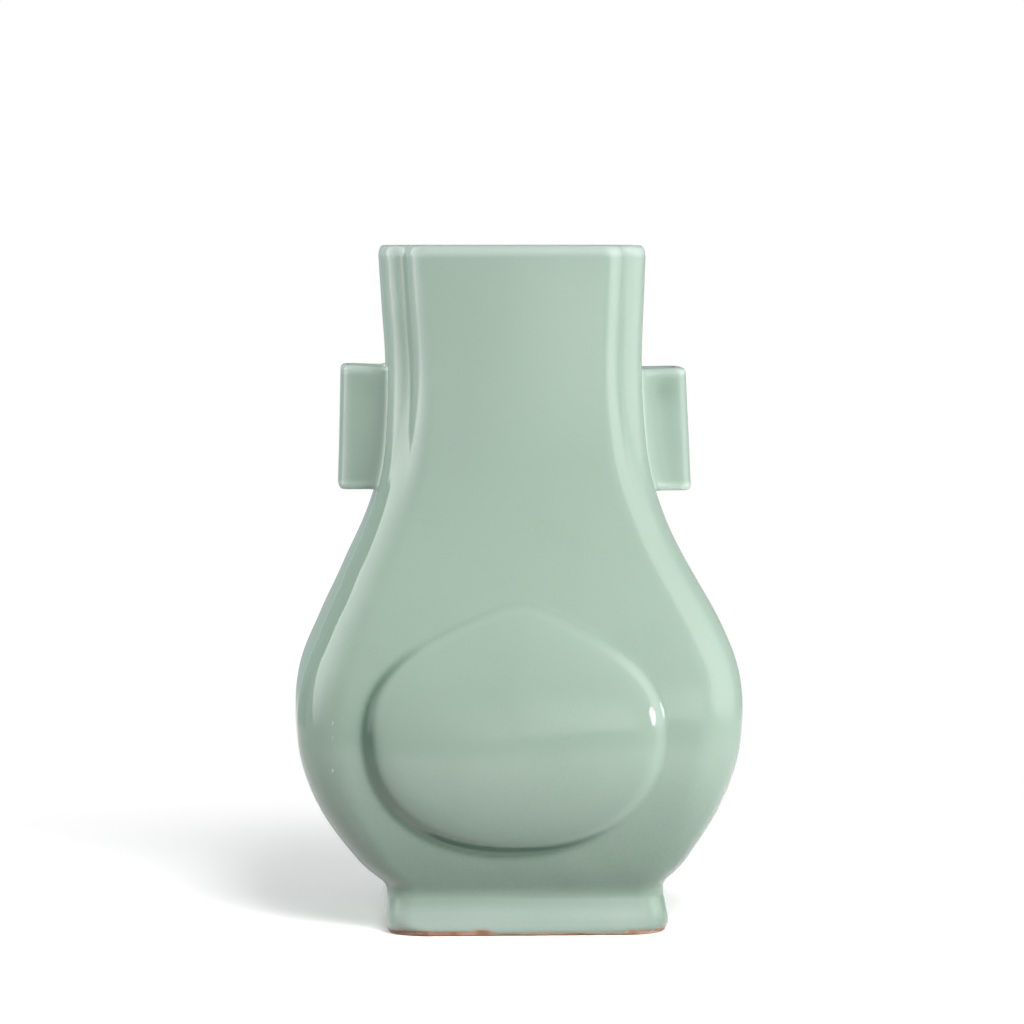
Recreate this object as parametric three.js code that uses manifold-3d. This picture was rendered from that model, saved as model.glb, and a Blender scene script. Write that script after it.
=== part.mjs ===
// A square-bodied hu vase in celadon porcelain, built from slabs as such a vase is: four moulded walls,
// a floor, a foot frame of four mitred strips and two tubular lug handles, all luted together with slip.
// Millimetres. X runs across the broad face, Y from front (-) to back (+), Z up from the table.
import * as THREE from 'three';
import { mergeVertices } from 'three/addons/utils/BufferGeometryUtils.js';
import Module from 'manifold-3d';

// Driving dimensions
const vaseHeight = 300;
const footHeight = 16.5;
const wallThickness = 4.5;
const lipHeight = 5;            // the rounded lip is this tall, half as an ellipse
const footWall = 9;             // width of the foot rim
const floorThickness = 6;
const slipGap = 0.3;            // room for the slip between two luted pieces
const depthRatio = 0.72;        // how much the depth grows for each millimetre of width
const footHalfDepth = 48.8;

// Half width of the outside at each height, read up the silhouette
const widthKnots = [
  [16.5, 60.6], [30, 73.9], [45, 84.1], [66.5, 93.2], [92, 97.2], [114.6, 94.8], [136, 86.2],
  [157, 75.7], [178.5, 65.7], [200, 59], [225, 56.2], [250, 55.65], [275, 56.8], [295, 57.9],
];
const footWidthKnots = [[0, 59.8], [2, 60.6], [6, 61], [11, 60.7], [16.5, 60.6]];

// The kiln and the hand left the vase a little out of true: the middle of each height, along X
const leanKnots = [
  [0, 4.6], [8, 4.4], [16.5, 3.3], [30, 2.2], [50, 0.8], [75, 0], [125, 0], [165, -1], [250, -0.9], [300, -1.4],
];

// Corners: one round corner on the body, two lobes with a groove between them on the neck
const cornerRadiusKnots = [[16.5, 13], [30, 16], [60, 20], [178, 20], [245, 18], [295, 18]];
const footCornerKnots = [[0, 22], [3, 16], [8, 12.5], [16.5, 13]];
const lobeRadius = 9;
const lobeTurn = THREE.MathUtils.degToRad(78);   // how far a lobe turns before the groove
const grooveShare = 0.12;       // the share of half a corner that is the groove's own curve
const grooveStart = 175;        // the groove is nothing below this height
const grooveFull = 245;         // and has its whole depth above this one

// Peach-shaped boss, moulded in the front and in the back wall
const boss = {
  middleX: -2.7,
  middleZ: 90.3,
  halfWidth: 64.5,
  up: 55.5,
  down: 52.7,
  tipShift: 3,
  rise: [[1, -1.5], [0.97, 0.8], [0.91, 2.8], [0.8, 4.2], [0.55, 5.5], [0.28, 6.1]],  // [scale, height]
  crown: 6.2,
  outlinePoints: 44,
};

// Tubular lug handles, each a channel bent from a strip and closed by the neck
const handle = {
  reachTop: 75.8,               // outer face from the neck's middle, at its top and at its bottom
  reachBottom: 77.6,
  halfDepth: 17,
  wall: 3.8,
  cornerRadius: 5,
  boreRadius: 2.2,
  edgeRound: 1.6,
  left: [193.6, 248.3],         // lowest and highest point
  right: [192.4, 246.8],
};

const wallRows = 29;
const cornerSteps = [0, 0.12, 0.4, 0.7, 1];
const lipSteps = 5;

// A smooth curve through knots [place, value], flat beyond its ends
function curveThrough(knots) {
  const slopes = knots.map(([x, y], i) => {
    const [x0, y0] = knots[Math.max(i - 1, 0)];
    const [x1, y1] = knots[Math.min(i + 1, knots.length - 1)];
    if (x0 === x || x1 === x) return (y1 - y0) / (x1 - x0);
    const before = (y - y0) / (x - x0);
    const after = (y1 - y) / (x1 - x);
    return (before * (x1 - x) + after * (x - x0)) / (x1 - x0);
  });
  return (at) => {
    if (at <= knots[0][0]) return knots[0][1];
    const last = knots.length - 1;
    if (at >= knots[last][0]) return knots[last][1];
    const i = knots.findIndex(([x]) => x > at) - 1;
    const span = knots[i + 1][0] - knots[i][0];
    const t = (at - knots[i][0]) / span;
    const rise = knots[i + 1][1] - knots[i][1];
    const bend0 = slopes[i] * span - rise;
    const bend1 = rise - slopes[i + 1] * span;
    return knots[i][1] + rise * t + t * (1 - t) * (bend0 * (1 - t) + bend1 * t);
  };
}

const bodyHalfWidth = curveThrough(widthKnots);
const lean = curveThrough(leanKnots);
const bodyCorner = curveThrough(cornerRadiusKnots);
const footHalfWidth = curveThrough(footWidthKnots);
const footCorner = curveThrough(footCornerKnots);
const topOfBody = vaseHeight - lipHeight;

const body = {
  halfWidth: bodyHalfWidth,
  halfDepth: (z) => footHalfDepth + depthRatio * (bodyHalfWidth(z) - widthKnots[0][1]),
  corner: bodyCorner,
  notch: (z) => THREE.MathUtils.smoothstep(z, grooveStart, grooveFull),
  // measured level, a sloping wall is wider than it is thick
  inset: (z) => {
    const slope = (bodyHalfWidth(z + 1) - bodyHalfWidth(z)) * (1 + depthRatio) / 2;
    return wallThickness * Math.hypot(1, slope);
  },
};
const foot = {
  halfWidth: footHalfWidth,
  halfDepth: (z) => footHalfDepth + footHalfWidth(z) - footHalfWidth(footHeight),
  corner: footCorner,
  notch: () => 0,
  inset: () => footWall,
};

// A corner seen from above, in the quarter where X and Y are positive. step runs from -2, the middle of
// the front or back, to -1, where the corner starts, 0, the seam, 1, where it ends, and 2, the middle of
// the side. inset moves the point inwards, square to the surface.
function sectionPoint(shape, z, step, inset) {
  const w = shape.halfWidth(z);
  const d = shape.halfDepth(z);
  const r = shape.corner(z);
  const around = Math.min(Math.max(step, -1), 1);
  const turn = (around + 1) * Math.PI / 4;
  const plainX = w - r + (r - inset) * Math.sin(turn);
  const plainY = d - r + (r - inset) * Math.cos(turn);
  const [lobedX, lobedY] = lobedCorner(w, d, r, around, inset);
  const k = shape.notch(z);
  let x = THREE.MathUtils.lerp(plainX, lobedX, k);
  let y = THREE.MathUtils.lerp(plainY, lobedY, k);
  if (step < -1) x *= step + 2;
  if (step > 1) y *= 2 - step;
  return [x, y];
}

// Half of a lobed corner is one lobe and half the groove; the other half is its mirror image
function lobedCorner(w, d, r, around, inset) {
  const out = 1 - Math.abs(around);      // 0 where the corner starts, 1 at the seam
  const lobeEndX = -r + lobeRadius * Math.sin(lobeTurn);
  const lobeEndY = -lobeRadius + lobeRadius * Math.cos(lobeTurn);
  const grooveRadius = (lobeEndY - lobeEndX) / (Math.sin(lobeTurn) - Math.cos(lobeTurn));
  let along;
  let across;
  if (out <= 1 - grooveShare) {
    const turn = out / (1 - grooveShare) * lobeTurn;
    along = -r + (lobeRadius - inset) * Math.sin(turn);
    across = -lobeRadius + (lobeRadius - inset) * Math.cos(turn);
  } else {
    const turn = Math.PI / 4 + (lobeTurn - Math.PI / 4) * (1 - out) / grooveShare;
    const centreX = lobeEndX + grooveRadius * Math.sin(lobeTurn);
    const centreY = lobeEndY + grooveRadius * Math.cos(lobeTurn);
    along = centreX - (grooveRadius + inset) * Math.sin(turn);
    across = centreY - (grooveRadius + inset) * Math.cos(turn);
  }
  return around <= 0 ? [w + along, d + across] : [w + across, d + along];
}

// The two corners that a side runs between, going round the vase, and which half of each it takes
const sides = {
  front: { from: [-1, -1], to: [1, -1], half: -1 },
  right: { from: [1, -1], to: [1, 1], half: 1 },
  back: { from: [1, 1], to: [-1, 1], half: -1 },
  left: { from: [-1, 1], to: [-1, -1], half: 1 },
};

function columnsOf(side) {
  const start = cornerSteps.map((s) => ({ corner: side.from, step: s * side.half }));
  const end = cornerSteps.map((s) => ({ corner: side.to, step: s * side.half })).reverse();
  return [...start, { corner: side.from, step: 2 * side.half }, ...end];
}

function place(shape, column, station) {
  const [x, y] = sectionPoint(shape, station.section, column.step, station.inset);
  return [column.corner[0] * x + lean(station.z), column.corner[1] * y, station.z];
}

// Stations up the outside, over the top and down the inside; the two halves mirror each other
function stationsOf(shape, heights, rounding) {
  const outside = heights.map((z) => ({ section: z, z, inset: 0 }));
  const inside = heights.map((z) => ({ section: z, z, inset: shape.inset(z) })).reverse();
  return [...outside, ...rounding, ...inside];
}

// A slab is the surface through stations and columns, closed by a seam face at each end
function slabGeometry(shape, side, stations) {
  const columns = columnsOf(side);
  const across = columns.length;
  const around = stations.length;
  const positions = stations.flatMap((station) => columns.flatMap((column) => place(shape, column, station)));
  const index = [];
  const at = (j, i) => (j % around) * across + i;
  for (let j = 0; j < around; j += 1) {
    for (let i = 0; i < across - 1; i += 1) {
      index.push(at(j, i), at(j, i + 1), at(j + 1, i + 1));
      index.push(at(j, i), at(j + 1, i + 1), at(j + 1, i));
    }
  }
  for (let j = 0; j < Math.floor(around / 2); j += 1) {
    const opposite = around - 1 - j;
    for (const [i, flip] of [[0, false], [across - 1, true]]) {
      const corners = [at(j, i), at(j + 1, i), at(opposite - 1, i), at(opposite, i)];
      pushQuad(index, corners, flip);
    }
  }
  return closedGeometry(positions, index);
}

// Both slabs that meet at a seam split its quads along the same diagonal
function pushQuad(index, [a, b, c, d], flip) {
  for (const [p, q, r] of [[a, b, c], [a, c, d]]) {
    if (p === q || q === r || p === r) continue;
    index.push(...(flip ? [p, r, q] : [p, q, r]));
  }
}

function closedGeometry(positions, index) {
  const geometry = new THREE.BufferGeometry();
  geometry.setAttribute('position', new THREE.Float32BufferAttribute(positions, 3));
  geometry.setIndex(index);
  return geometry;
}

function evenly(from, to, count) {
  return Array.from({ length: count }, (_, i) => THREE.MathUtils.lerp(from, to, i / (count - 1)));
}

function wallGeometry(side) {
  const thickness = body.inset(topOfBody);
  const lip = evenly(0, Math.PI, lipSteps + 2).slice(1, -1).map((turn) => ({
    section: topOfBody,
    z: topOfBody + lipHeight * Math.sin(turn),
    inset: thickness / 2 * (1 - Math.cos(turn)),
  }));
  return slabGeometry(body, side, stationsOf(body, evenly(footHeight, topOfBody, wallRows), lip));
}

function footGeometry(side) {
  const heights = footWidthKnots.map(([z]) => z);
  return slabGeometry(foot, side, stationsOf(foot, heights, []));
}

function floorGeometry() {
  const inset = body.inset(footHeight) + slipGap;
  const steps = [-1, -0.5, 0, 0.5, 1];
  const outline = [];
  for (const { from, half } of Object.values(sides)) {
    for (const step of half > 0 ? steps : [...steps].reverse()) {
      const [x, y] = sectionPoint(body, footHeight, step, inset);
      outline.push(new THREE.Vector2(from[0] * x + lean(footHeight), from[1] * y));
    }
  }
  const shape = new THREE.Shape(outline);
  const geometry = new THREE.ExtrudeGeometry(shape, { depth: floorThickness, bevelEnabled: false });
  geometry.translate(0, 0, footHeight);
  return geometry;
}

// The peach outline, about its own middle: pointed at the top, round below
function peachOutline() {
  const { halfWidth, up, down, tipShift } = boss;
  const shape = new THREE.Path();
  shape.moveTo(tipShift, up);
  shape.bezierCurveTo(-0.64 * halfWidth, 0.68 * up, -halfWidth, 0.53 * up, -halfWidth, 0);
  shape.absellipse(0, 0, halfWidth, down, Math.PI, 2 * Math.PI);
  shape.bezierCurveTo(halfWidth, 0.53 * up, 0.64 * halfWidth, 0.68 * up, tipShift, up);
  return shape.getSpacedPoints(boss.outlinePoints).slice(0, -1);
}

// The boss swells from inside the wall; its rings are the outline, drawn in towards the middle
function bossGeometry() {
  const outline = peachOutline();
  const count = outline.length;
  const onWall = (x, z, height) => [x + boss.middleX, -body.halfDepth(z + boss.middleZ) - height, z + boss.middleZ];
  const positions = boss.rise.flatMap(([scale, height]) =>
    outline.flatMap((p) => onWall(p.x * scale, p.y * scale, height)));
  const crown = positions.length / 3;
  positions.push(...onWall(0, 0, boss.crown));
  const heel = crown + 1;
  positions.push(...onWall(0, 0, boss.rise[0][1]));
  const index = [];
  for (let i = 0; i < count; i += 1) {
    const next = (i + 1) % count;
    for (let ring = 0; ring < boss.rise.length - 1; ring += 1) {
      const a = ring * count;
      const b = a + count;
      index.push(a + i, a + next, b + next, a + i, b + next, b + i);
    }
    const inner = (boss.rise.length - 1) * count;
    index.push(inner + i, inner + next, crown);
    index.push(next, i, heel);
  }
  return closedGeometry(positions, index);
}

const wasm = await Module();
wasm.setup();

function toSolid(geometry) {
  const bare = geometry.clone();
  bare.deleteAttribute('normal');
  bare.deleteAttribute('uv');
  const merged = mergeVertices(bare, 1e-4);
  return new wasm.Manifold(new wasm.Mesh({
    numProp: 3,
    vertProperties: new Float32Array(merged.attributes.position.array),
    triVerts: new Uint32Array(merged.index.array),
  }));
}

function fromSolid(solid) {
  const { vertProperties, triVerts } = solid.getMesh();
  return closedGeometry(Array.from(vertProperties), Array.from(triVerts));
}

function bossedWallGeometry(side) {
  const bossShape = bossGeometry();
  if (side === sides.back) bossShape.rotateZ(Math.PI);
  return fromSolid(toSolid(wallGeometry(side)).add(toSolid(bossShape)));
}

// A handle lies along +X in this drawing: arms that end at the neck and a rounded outer face
function handleGeometry([bottom, top], towards) {
  const { halfDepth, wall, cornerRadius, boreRadius, edgeRound, reachTop, reachBottom } = handle;
  const reach = 20;                    // in the drawing; the arms grow or shrink to the neck below
  const shape = new THREE.Shape();
  shape.moveTo(0, -halfDepth);
  shape.lineTo(reach - cornerRadius, -halfDepth);
  shape.absarc(reach - cornerRadius, -halfDepth + cornerRadius, cornerRadius, -Math.PI / 2, 0);
  shape.lineTo(reach, halfDepth - cornerRadius);
  shape.absarc(reach - cornerRadius, halfDepth - cornerRadius, cornerRadius, 0, Math.PI / 2);
  shape.lineTo(0, halfDepth);
  shape.lineTo(0, halfDepth - wall);
  shape.lineTo(reach - wall - boreRadius, halfDepth - wall);
  shape.absarc(reach - wall - boreRadius, halfDepth - wall - boreRadius, boreRadius, Math.PI / 2, 0, true);
  shape.lineTo(reach - wall, -halfDepth + wall + boreRadius);
  shape.absarc(reach - wall - boreRadius, -halfDepth + wall + boreRadius, boreRadius, 0, -Math.PI / 2, true);
  shape.lineTo(0, -halfDepth + wall);
  const geometry = new THREE.ExtrudeGeometry(shape, {
    depth: top - bottom - 2 * edgeRound,
    steps: 6,
    curveSegments: 4,
    bevelSize: edgeRound,
    bevelThickness: edgeRound,
    bevelOffset: -edgeRound,
    bevelSegments: 2,
  });
  geometry.translate(0, 0, bottom + edgeRound);
  const position = geometry.attributes.position;
  for (let i = 0; i < position.count; i += 1) {
    const z = position.getZ(i);
    const outerFace = THREE.MathUtils.mapLinear(z, bottom, top, reachBottom, reachTop);
    const neck = body.halfWidth(z) + slipGap;
    const x = position.getX(i);
    const outwards = x < reach / 3 ? neck + x : outerFace - (reach - x);
    position.setX(i, towards * outwards + lean(z));
  }
  if (towards < 0) turnInsideOut(geometry);
  return geometry;
}

// Mirroring turned the faces inwards, so each triangle is taken the other way round
function turnInsideOut(geometry) {
  const position = geometry.attributes.position;
  for (let i = 0; i < position.count; i += 3) {
    for (const axis of [0, 1, 2]) {
      const kept = position.getComponent(i, axis);
      position.setComponent(i, axis, position.getComponent(i + 1, axis));
      position.setComponent(i + 1, axis, kept);
    }
  }
}

const glaze = { color: 0xa9c4b2, roughness: 0.18, metalness: 0 };

function addPiece(group, name, geometry) {
  const piece = new THREE.Mesh(geometry, new THREE.MeshStandardMaterial(glaze));
  piece.name = name;
  group.add(piece);
}

const vase = new THREE.Group();
addPiece(vase, 'front_wall', bossedWallGeometry(sides.front));
addPiece(vase, 'back_wall', bossedWallGeometry(sides.back));
addPiece(vase, 'left_wall', wallGeometry(sides.left));
addPiece(vase, 'right_wall', wallGeometry(sides.right));
addPiece(vase, 'floor_slab', floorGeometry());
for (const [name, side] of Object.entries(sides)) {
  addPiece(vase, `foot_${name}`, footGeometry(side));
}
addPiece(vase, 'left_handle', handleGeometry(handle.left, -1));
addPiece(vase, 'right_handle', handleGeometry(handle.right, 1));

export default vase;
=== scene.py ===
# A square hu vase in celadon glaze, dressed around its frame: four pressed walls, a foot frame
# of four strips, a floor and two tubular lug handles, luted together and glazed over.
# The shapes are in millimetres, as a potter measures. The meshes and most of the studio are in metres.
import math

import bmesh
import bpy
import numpy as np
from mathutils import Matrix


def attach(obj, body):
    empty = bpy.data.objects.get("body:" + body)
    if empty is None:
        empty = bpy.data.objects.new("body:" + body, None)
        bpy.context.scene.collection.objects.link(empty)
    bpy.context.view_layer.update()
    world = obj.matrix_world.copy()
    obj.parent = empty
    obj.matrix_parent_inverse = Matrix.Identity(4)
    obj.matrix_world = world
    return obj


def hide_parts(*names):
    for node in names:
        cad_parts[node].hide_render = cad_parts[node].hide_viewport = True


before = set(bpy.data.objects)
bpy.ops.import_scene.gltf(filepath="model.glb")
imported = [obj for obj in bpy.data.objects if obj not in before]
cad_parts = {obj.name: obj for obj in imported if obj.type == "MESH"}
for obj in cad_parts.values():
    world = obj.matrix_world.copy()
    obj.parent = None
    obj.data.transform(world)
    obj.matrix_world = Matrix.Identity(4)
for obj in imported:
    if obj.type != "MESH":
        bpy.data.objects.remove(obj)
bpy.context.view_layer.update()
scene = bpy.context.scene
scene.view_settings.view_transform = "Standard"
millimetre = 0.001
tiny = 1e-4  # for telling whether two places in a sheet are the same

vase = {
    "height": 300,
    "footHeight": 16.5,
    "wall": 4.5,
    "lipHeight": 5,
    "depthRatio": 0.72,  # how much the depth grows for each millimetre of width
    "footHalfDepth": 48.8,
    "halfWidths": [  # [height, half width]
        [22, 61.1], [29.2, 69.2], [39.5, 77.2], [51.5, 85], [66.5, 91.9], [80, 95.8], [92, 97.1],
        [114.6, 95.1], [136, 87], [157, 76.5], [178.5, 66.3], [200, 59.6], [225, 56.7],
        [250, 56.2], [275, 57.4], [295, 58.4],
    ],
    "footHalfWidths": [[0, 61], [2, 62], [6, 62.3], [11, 61.7], [16.5, 61.1]],
    "faceDrop": 2.5,  # the broad faces begin to flare this much lower
    "faceDropFades": [20, 60],
    "lean": [  # [height, how far the middle has moved to the right]
        [0, 3.9], [8, 3.7], [16.5, 3.2], [30, 1.8], [52, 0.3], [72, -0.2], [92, -0.1], [110, 0.6],
        [130, 1.4], [145, 1.1], [165, 0], [189, -0.3], [253, -1], [300, -1.8],
    ],
    "corners": [  # [height, radius]
        [0, 22], [3, 16], [8, 12.5], [16.5, 13], [30, 16], [60, 20], [178, 20], [245, 20.5], [295, 20.5],
    ],
    "lobeRadius": 10,
    "lobeTurn": math.radians(70),
    "grooveShare": 0.32,  # the share of half a corner that is the groove's own curve
    "grooveGrows": [175, 245],
    "cove": 3,  # reach of the glaze fillet between foot and body
    "coveTop": 30,  # the foot has no say above this height
    "bow": 0.4,  # each flat stands this much prouder at its middle
    "faceBow": 2.2,  # the broad faces are bowed by this much more above the foot
    "faceBowGrows": [22, 60],
    "handWork": 0.24,  # depth of the slow waves left by pressing and scraping
}


# A smooth curve through knots [place, value], flat beyond its ends
def curveThrough(knots):
    places, values = np.array(knots, float).T
    gaps = np.diff(places)
    steps = np.diff(values) / gaps
    slopes = np.concatenate([steps[:1], steps[:1], steps[-1:]])
    slopes = np.resize(slopes, len(values))
    slopes[0], slopes[-1] = steps[0], steps[-1]
    slopes[1:-1] = (steps[:-1] * gaps[1:] + steps[1:] * gaps[:-1]) / (gaps[1:] + gaps[:-1])

    def curve(where):
        where = np.clip(where, places[0], places[-1])
        i = np.clip(np.searchsorted(places, where, side="right") - 1, 0, len(places) - 2)
        t = (where - places[i]) / gaps[i]
        rise = values[i + 1] - values[i]
        bend0 = slopes[i] * gaps[i] - rise
        bend1 = rise - slopes[i + 1] * gaps[i]
        return values[i] + rise * t + t * (1 - t) * (bend0 * (1 - t) + bend1 * t)
    return curve


def smoothStep(value, low, high):
    t = np.clip((value - low) / (high - low), 0, 1)
    return t * t * (3 - 2 * t)


# A soft hill, 1 high at its place and gone at about twice its reach
def hill(value, place, reach):
    return np.exp(-((value - place) / reach) ** 2)


# The larger of two curves, rounded where they cross
def softMax(a, b, reach):
    near = np.clip(reach - np.abs(a - b), 0, None) / reach
    return np.maximum(a, b) + near * near * reach / 4


bodyCurve = curveThrough(vase["halfWidths"])
footCurve = curveThrough(vase["footHalfWidths"])
cornerRadius = curveThrough(vase["corners"])
lean = curveThrough(vase["lean"])
waist = vase["halfWidths"][0][1]


# The body's flare goes on below the foot's top, so that the cove can round the two together
def bodyHalfWidth(z):
    (z0, w0), (z1, w1) = vase["halfWidths"][:2]
    return bodyCurve(z) + np.minimum(z - z0, 0) * (w1 - w0) / (z1 - z0)


def halfWidth(z):
    joined = softMax(footCurve(z), bodyHalfWidth(z), vase["cove"])
    return np.where(z < vase["coveTop"], joined, bodyCurve(z))


def halfDepth(z):
    drop = vase["faceDrop"] * (1 - smoothStep(z, *vase["faceDropFades"]))
    body = vase["depthRatio"] * (bodyHalfWidth(z + drop) - waist)
    joined = softMax(footCurve(z) - waist, body, vase["cove"])
    return vase["footHalfDepth"] + np.where(z < vase["coveTop"], joined, body)


# Measured level, a sloping wall is wider than it is thick
def wallInset(z):
    slope = (bodyCurve(z + 1) - bodyCurve(z)) * (1 + vase["depthRatio"]) / 2
    return vase["wall"] * np.hypot(1, slope)


# Half of a lobed corner is one lobe and half the groove; the other half is its mirror image
def lobedCorner(w, d, r, around, inset):
    turnEnd, lobe, share = vase["lobeTurn"], vase["lobeRadius"], vase["grooveShare"]
    out = 1 - np.abs(around)
    endX = -r + lobe * math.sin(turnEnd)
    endY = -lobe + lobe * math.cos(turnEnd)
    grooveRadius = (endY - endX) / (math.sin(turnEnd) - math.cos(turnEnd))
    lobeAngle = out / (1 - share) * turnEnd
    lobeX = -r + (lobe - inset) * np.sin(lobeAngle)
    lobeY = -lobe + (lobe - inset) * np.cos(lobeAngle)
    grooveAngle = math.pi / 4 + (turnEnd - math.pi / 4) * (1 - out) / share
    grooveX = endX + grooveRadius * math.sin(turnEnd) - (grooveRadius + inset) * np.sin(grooveAngle)
    grooveY = endY + grooveRadius * math.cos(turnEnd) - (grooveRadius + inset) * np.cos(grooveAngle)
    along = np.where(out <= 1 - share, lobeX, grooveX)
    across = np.where(out <= 1 - share, lobeY, grooveY)
    first = around <= 0
    return w + np.where(first, along, across), d + np.where(first, across, along)


# A quarter of the section seen from above: step runs from -2, the middle of the front, to -1,
# where the corner starts, 0, the seam, 1, where it ends, and 2, the middle of the side
def sectionPoint(z, step, inset):
    w, d, r = halfWidth(z), halfDepth(z), cornerRadius(z)
    across = np.clip(np.abs(step) - 1, 0, 1)
    inset = inset + vase["bow"] * (1 - smoothStep(across, 0, 1))
    around = np.clip(step, -1, 1)
    turn = (around + 1) * math.pi / 4
    plainX = w - r + (r - inset) * np.sin(turn)
    plainY = d - r + (r - inset) * np.cos(turn)
    lobedX, lobedY = lobedCorner(w, d, r, around, inset)
    notch = smoothStep(z, *vase["grooveGrows"])
    x = plainX + (lobedX - plainX) * notch
    y = plainY + (lobedY - plainY) * notch
    x = np.where(step < -1, x * (step + 2), x)
    y = y - vase["faceBow"] * smoothStep(z, *vase["faceBowGrows"]) * (x / w) ** 2
    y = np.where(step > 1, y * (2 - step), y)
    return x, y


# Slow waves over the whole vase, always inwards. The numbers are radians per millimetre and phases.
def handWork(x, y, z):
    slow = np.sin(x * 0.071 + z * 0.053 + 1.3) + np.sin(y * 0.083 - z * 0.061 + 0.4)
    quick = np.sin(x * 0.19 + y * 0.13 + 2.1) * np.sin(z * 0.17 + x * 0.05)
    return vase["handWork"] * (0.5 + 0.2 * slow + 0.08 * quick)


# Each side goes counter-clockwise from one corner to the next; half says which half of both corners
sides = {
    "front": {"signs": lambda u: (np.sign(u), -1), "half": -1},
    "right": {"signs": lambda u: (1, np.sign(u)), "half": 1},
    "back": {"signs": lambda u: (-np.sign(u), 1), "half": -1},
    "left": {"signs": lambda u: (-1, -np.sign(u)), "half": 1},
}


# u runs from -1 to 1 along a side, seam to seam; flatShare of it is the flat
def sidePoint(side, flatShare, u, z, inset):
    flat = 2 - np.abs(u) / flatShare
    corner = 1 - (np.abs(u) - flatShare) / (1 - flatShare)
    step = side["half"] * np.where(np.abs(u) < flatShare, flat, corner)
    signX, signY = side["signs"](u)
    x, y = sectionPoint(z, step, inset)
    worked = handWork(signX * x, signY * y, z)
    x, y = sectionPoint(z, step, inset + worked)
    return signX * x, signY * y


boss = {
    "middleX": -3.2,
    "middleZ": 90.3,
    "halfWidth": 64.5,
    "up": 58,
    "down": 52.7,
    "tipShift": 3,
    "tipHandle": [0.64, 0.68],  # how the upper curves leave the tip, as shares of width and height
    "flankHandle": 0.53,  # and how they come down to the flanks
    "curvePoints": 90,
    "margin": 14,  # the wall is the plain one at this distance from the boss
    "edgeRise": 2.7,  # the quick rise at the edge, and how fast it comes
    "edgeReach": 3.1,
    "edgeStart": 6,  # it is followed this far outside the outline
    "softTop": 0.8,  # the rise comes slower by this share towards the tip
    "softLeft": 0.7,  # and by this share at the left
    "domeRise": 3.45,  # the slow rise towards the middle
    "domeReach": 24,
    "fillet": 1.5,
    "moat": 0.45,  # the wall dips this much round the boss
    "moatPlace": -2.2,
    "moatWidth": 8,
    "lowEdge": 0.45,  # the edge stands higher below and lower above, by this share
    "proudLowLeft": 0.7,  # and higher still at the lower left, where it is also wider
    "wideLowLeft": 0.35,
    "belowPower": 2.2,  # 2 would make the lower half an ellipse
    "tipSoftening": 45,  # how many times the outline is smoothed
}


def bezierPoints(start, control0, control1, end, count):
    t = np.linspace(0, 1, count, endpoint=False)[:, None]
    corners = [np.array(p, float) for p in (start, control0, control1, end)]
    weights = [(1 - t) ** 3, 3 * t * (1 - t) ** 2, 3 * t * t * (1 - t), t ** 3]
    return sum(weight * corner for weight, corner in zip(weights, corners))


# The peach outline about its own middle: pointed above, round below
def peachOutline():
    w, up, down, count = boss["halfWidth"], boss["up"], boss["down"], boss["curvePoints"]
    tip = (boss["tipShift"], up)
    awayX, awayZ = boss["tipHandle"][0] * w, boss["tipHandle"][1] * up
    flank = boss["flankHandle"] * up
    left = bezierPoints(tip, (-awayX, awayZ), (-w, flank), (-w, 0), count)
    turn = np.linspace(math.pi, 2 * math.pi, 2 * count, endpoint=False)[:, None]
    fuller = 2 / boss["belowPower"]
    below = np.hstack([w * np.sign(np.cos(turn)) * np.abs(np.cos(turn)) ** fuller,
                       -down * np.abs(np.sin(turn)) ** fuller])
    right = bezierPoints((w, 0), (w, flank), (awayX, awayZ), tip, count)
    outline = np.vstack([left, below, right])
    for _ in range(boss["tipSoftening"]):
        outline = (np.roll(outline, 1, axis=0) + outline + np.roll(outline, -1, axis=0)) / 3
    return outline


peach = peachOutline()


# How far points lie inside the peach outline; outside it the distance is negative
def insidePeach(x, z):
    ends = np.roll(peach, -1, axis=0)
    spans = ends - peach
    lengths = (spans ** 2).sum(1)
    reach = np.full(x.shape, 1e9)
    crossings = np.zeros(x.shape, int)
    for (px, pz), (_, qz), (sx, sz), length in zip(peach, ends, spans, lengths):
        t = np.clip(((x - px) * sx + (z - pz) * sz) / length, 0, 1)
        reach = np.minimum(reach, np.hypot(x - px - t * sx, z - pz - t * sz))
        spanned = (pz > z) != (qz > z)
        if abs(sz) > 1e-9:
            crossings += spanned & (x < px + (z - pz) * sx / sz)
    return np.where(crossings % 2 == 1, reach, -reach)


# The boss stands on the wall: a fillet, a quick rise, then a slow dome
def bossRise(x, z):
    x, z = x - boss["middleX"], z - boss["middleZ"]
    near = (np.abs(x) < boss["halfWidth"] + boss["margin"]) & (np.abs(z) < boss["up"] + boss["margin"])
    farOutside = -99.0
    rise, inside = np.zeros(x.shape), np.full(x.shape, farOutside)
    inside[near] = insidePeach(x[near], z[near])
    reach = inside[near]
    upward = z[near] / boss["up"]
    lowLeft = np.clip(-(x[near] + z[near]) / boss["halfWidth"], 0, 1)
    lift = 1 - boss["lowEdge"] * upward + boss["proudLowLeft"] * lowLeft
    leftward = np.clip(-x[near] / boss["halfWidth"], 0, 1)
    softer = 1 + boss["softTop"] * np.maximum(upward, 0) + boss["wideLowLeft"] * lowLeft
    softer += boss["softLeft"] * leftward * (1 - lowLeft)
    grown = np.maximum(reach, -boss["edgeStart"]) / (boss["edgeReach"] * softer)
    edge = boss["edgeRise"] * lift * (1 - np.exp(-grown))
    dome = boss["domeRise"] * (1 - np.exp(-np.maximum(reach, 0) / boss["domeReach"]))
    moat = boss["moat"] * hill(reach, boss["moatPlace"], boss["moatWidth"])
    rise[near] = softMax(edge + dome, 0 * reach, boss["fillet"]) - moat
    return rise, inside


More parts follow.
